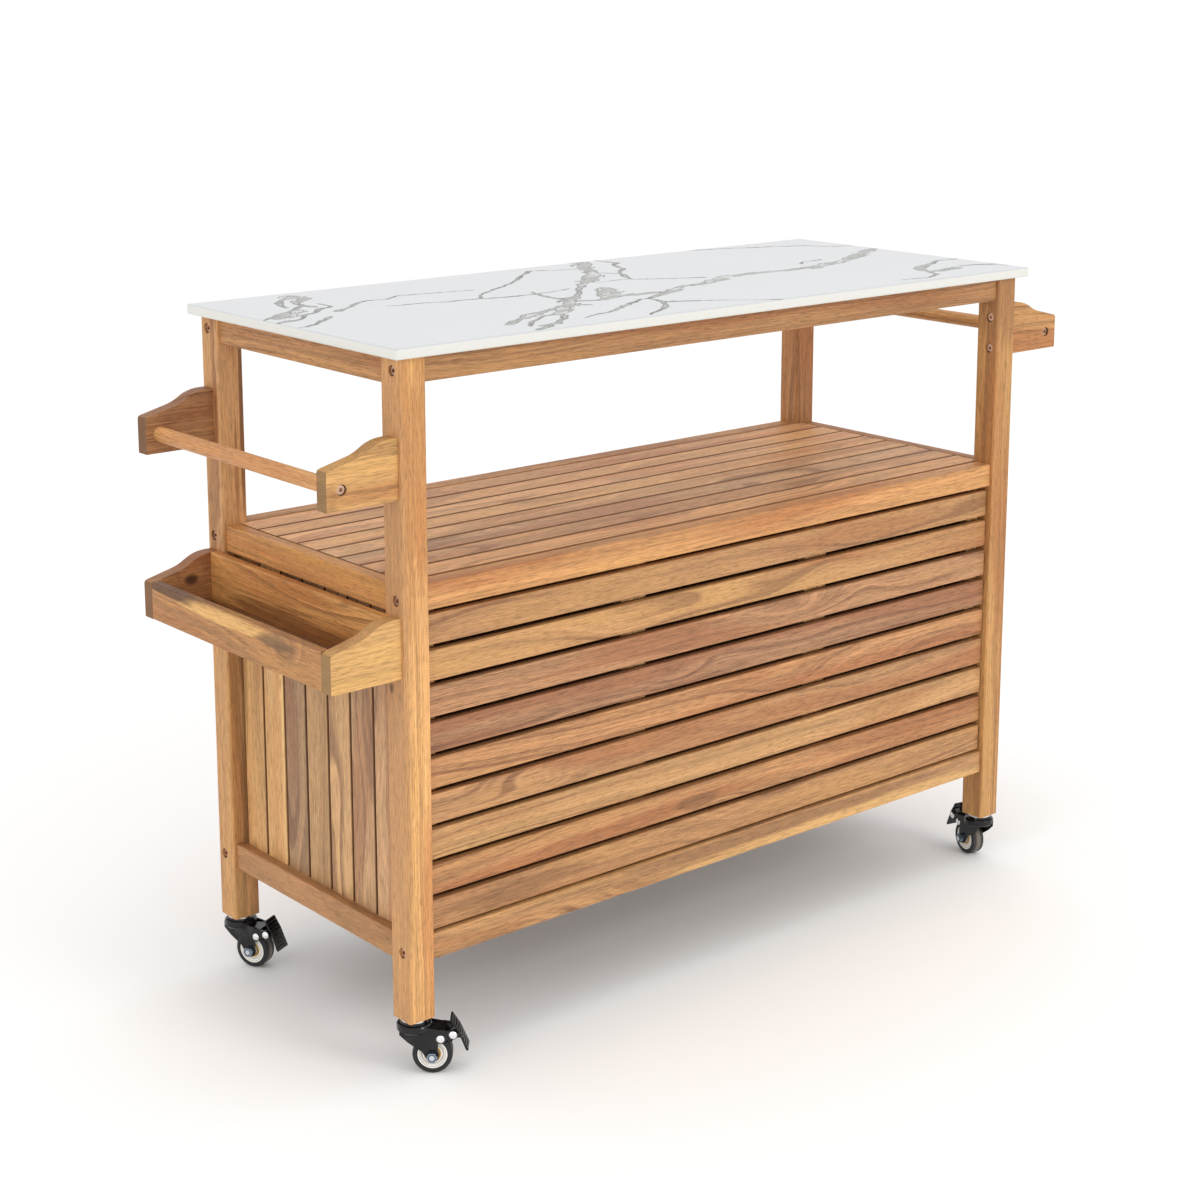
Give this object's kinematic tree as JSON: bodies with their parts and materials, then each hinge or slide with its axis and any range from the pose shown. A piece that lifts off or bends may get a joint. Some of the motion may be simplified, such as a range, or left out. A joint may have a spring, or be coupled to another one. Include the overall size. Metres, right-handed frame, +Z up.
{
  "type": "kitchen cart",
  "caption": "Wooden kitchen cart with a stone-look worktop, an open slatted deck, a slatted cabinet with hinged doors, towel bars, a side tray and braked swivel casters.",
  "frame": {"origin": "on the floor, under the middle of the cart: the bottom centre of its bounding box", "axes": "+X along the cart's length to the end without the tray, +Y to the side with the doors, +Z up"},
  "size_m": [1.3, 0.5122, 0.914],
  "materials": {
    "post_wood": "oiled hardwood, straight golden-brown grain",
    "rail_wood": "oiled hardwood",
    "slat_wood": "oiled hardwood, strongly varied from slat to slat",
    "deck_wood": "oiled hardwood, greyer brown",
    "inner_wood": "unfinished hardwood inside the cabinet",
    "worktop_stone": "satin white stone-look slab with grey veins",
    "steel": "zinc plated",
    "black_steel": "gloss black",
    "tyre": "black tread",
    "hub_plastic": "off-white hub"
  },
  "bodies": {
    "cart": {"post_back_left": "post_wood", "post_back_right": "post_wood", "post_front_left": "post_wood", "post_front_right": "post_wood", "top_long_rails": "rail_wood", "deck_long_rails": "rail_wood", "bottom_long_rails": "rail_wood", "top_end_rails": "rail_wood", "deck_end_rails": "rail_wood", "bottom_end_rails": "rail_wood", "worktop": "worktop_stone", "cross_bearers": "inner_wood", "deck_slats": "deck_wood", "back_slats": "slat_wood", "back_battens": "inner_wood", "left_end_slats": "slat_wood", "right_end_slats": "slat_wood", "panel_cleats": "inner_wood", "partition_slats": "slat_wood", "door_mullion": "rail_wood", "floor_slats": "deck_wood", "shelf_slats": "deck_wood", "door_hardware": "steel", "towel_bar_brackets": "rail_wood", "towel_bars": "post_wood", "tray_sides": "rail_wood", "tray_long_boards": "slat_wood", "tray_bottom": "inner_wood", "frame_bolts": "steel", "bracket_bolts": "steel", "caster_stems": "steel"},
    "left_door": {"left_door_frame": "rail_wood", "left_door_boards": "slat_wood", "left_door_fittings": "steel"},
    "centre_door": {"centre_door_frame": "rail_wood", "centre_door_boards": "slat_wood", "centre_door_fittings": "steel"},
    "right_door": {"right_door_frame": "rail_wood", "right_door_boards": "slat_wood", "right_door_fittings": "steel"},
    "back_left_swivel": {"back_left_fork": "black_steel", "back_left_axle": "steel"},
    "back_left_wheel": {"back_left_tyre": "tyre", "back_left_hub": "hub_plastic"},
    "back_left_brake": {"back_left_pedal": "black_steel"},
    "front_left_swivel": {"front_left_fork": "black_steel", "front_left_axle": "steel"},
    "front_left_wheel": {"front_left_tyre": "tyre", "front_left_hub": "hub_plastic"},
    "front_left_brake": {"front_left_pedal": "black_steel"},
    "back_right_swivel": {"back_right_fork": "black_steel", "back_right_axle": "steel"},
    "back_right_wheel": {"back_right_tyre": "tyre", "back_right_hub": "hub_plastic"},
    "back_right_brake": {"back_right_pedal": "black_steel"},
    "front_right_swivel": {"front_right_fork": "black_steel", "front_right_axle": "steel"},
    "front_right_wheel": {"front_right_tyre": "tyre", "front_right_hub": "hub_plastic"},
    "front_right_brake": {"front_right_pedal": "black_steel"}
  },
  "joints": [
    {"name": "left_door_hinge", "type": "hinge", "parent": "cart", "child": "left_door", "pos_m": [-0.5082, 0.218, 0.3845], "axis": [0, 0, 1], "range_deg": [0, 110]},
    {"name": "centre_door_hinge", "type": "hinge", "parent": "cart", "child": "centre_door", "pos_m": [0.1442, 0.218, 0.3845], "axis": [0, 0, -1], "range_deg": [0, 110]},
    {"name": "right_door_hinge", "type": "hinge", "parent": "cart", "child": "right_door", "pos_m": [0.5082, 0.218, 0.3845], "axis": [0, 0, -1], "range_deg": [0, 110]},
    {"name": "back_left_swivel_turn", "type": "hinge", "parent": "cart", "child": "back_left_swivel", "pos_m": [-0.531, -0.204, 0.062], "axis": [0, 0, 1], "continuous": true},
    {"name": "back_left_wheel_spin", "type": "hinge", "parent": "back_left_swivel", "child": "back_left_wheel", "pos_m": [-0.51376, -0.21846, 0.025], "axis": [0.6428, 0.766, 0], "continuous": true},
    {"name": "back_left_brake_press", "type": "hinge", "parent": "back_left_swivel", "child": "back_left_brake", "pos_m": [-0.49385, -0.23517, 0.053], "axis": [0.6428, 0.766, 0], "range_deg": [0, 12]},
    {"name": "front_left_swivel_turn", "type": "hinge", "parent": "cart", "child": "front_left_swivel", "pos_m": [-0.531, 0.204, 0.062], "axis": [0, 0, 1], "continuous": true},
    {"name": "front_left_wheel_spin", "type": "hinge", "parent": "front_left_swivel", "child": "front_left_wheel", "pos_m": [-0.52149, 0.18361, 0.025], "axis": [0.9063, 0.4226, 0], "continuous": true},
    {"name": "front_left_brake_press", "type": "hinge", "parent": "front_left_swivel", "child": "front_left_brake", "pos_m": [-0.5105, 0.16004, 0.053], "axis": [0.9063, 0.4226, 0], "range_deg": [0, 12]},
    {"name": "back_right_swivel_turn", "type": "hinge", "parent": "cart", "child": "back_right_swivel", "pos_m": [0.531, -0.204, 0.062], "axis": [0, 0, 1], "continuous": true},
    {"name": "back_right_wheel_spin", "type": "hinge", "parent": "back_right_swivel", "child": "back_right_wheel", "pos_m": [0.53644, -0.18217, 0.025], "axis": [-0.9703, 0.2419, 0], "continuous": true},
    {"name": "back_right_brake_press", "type": "hinge", "parent": "back_right_swivel", "child": "back_right_brake", "pos_m": [0.54273, -0.15694, 0.053], "axis": [-0.9703, 0.2419, 0], "range_deg": [0, 12]},
    {"name": "front_right_swivel_turn", "type": "hinge", "parent": "cart", "child": "front_right_swivel", "pos_m": [0.531, 0.204, 0.062], "axis": [0, 0, 1], "continuous": true},
    {"name": "front_right_wheel_spin", "type": "hinge", "parent": "front_right_swivel", "child": "front_right_wheel", "pos_m": [0.51376, 0.21846, 0.025], "axis": [-0.6428, -0.766, 0], "continuous": true},
    {"name": "front_right_brake_press", "type": "hinge", "parent": "front_right_swivel", "child": "front_right_brake", "pos_m": [0.49385, 0.23517, 0.053], "axis": [-0.6428, -0.766, 0], "range_deg": [0, 12]}
  ]
}
